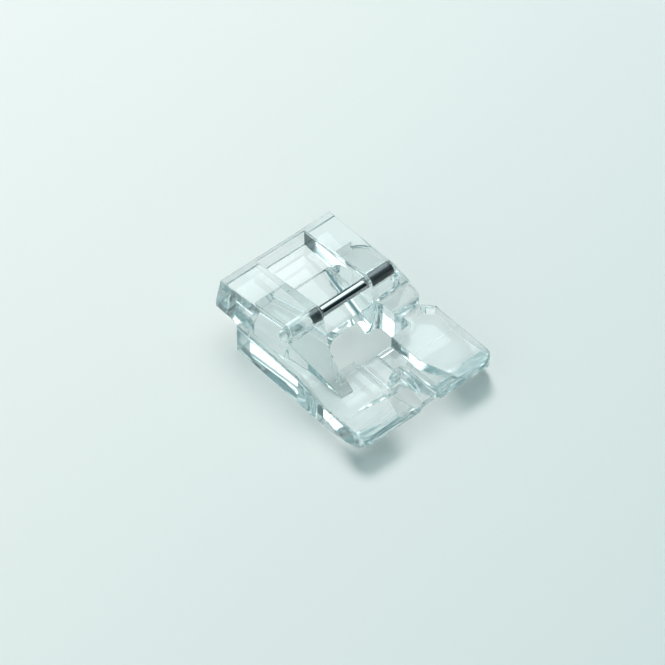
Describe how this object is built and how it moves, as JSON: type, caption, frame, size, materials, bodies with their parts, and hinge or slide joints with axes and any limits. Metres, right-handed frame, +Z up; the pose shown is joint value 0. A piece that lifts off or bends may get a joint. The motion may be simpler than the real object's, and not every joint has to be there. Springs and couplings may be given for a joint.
{
  "type": "sewing machine presser foot",
  "caption": "Clear moulded clip-on presser foot with a needle opening, a cord guide and tunnel in the sole, and a steel cross pin for the ankle to clip on.",
  "frame": {"origin": "middle of the bounding box, on the plane the sole stands on", "axes": "+X is the operator's right, +Y is towards the rear of the machine, +Z is up"},
  "size_m": [0.0274, 0.0364, 0.012],
  "materials": {
    "clear_plastic": "clear, polished moulding with a faint mint tint",
    "pin_steel": "polished steel"
  },
  "bodies": {
    "root": {"foot_body": "clear_plastic", "cross_pin": "pin_steel"}
  },
  "joints": []
}
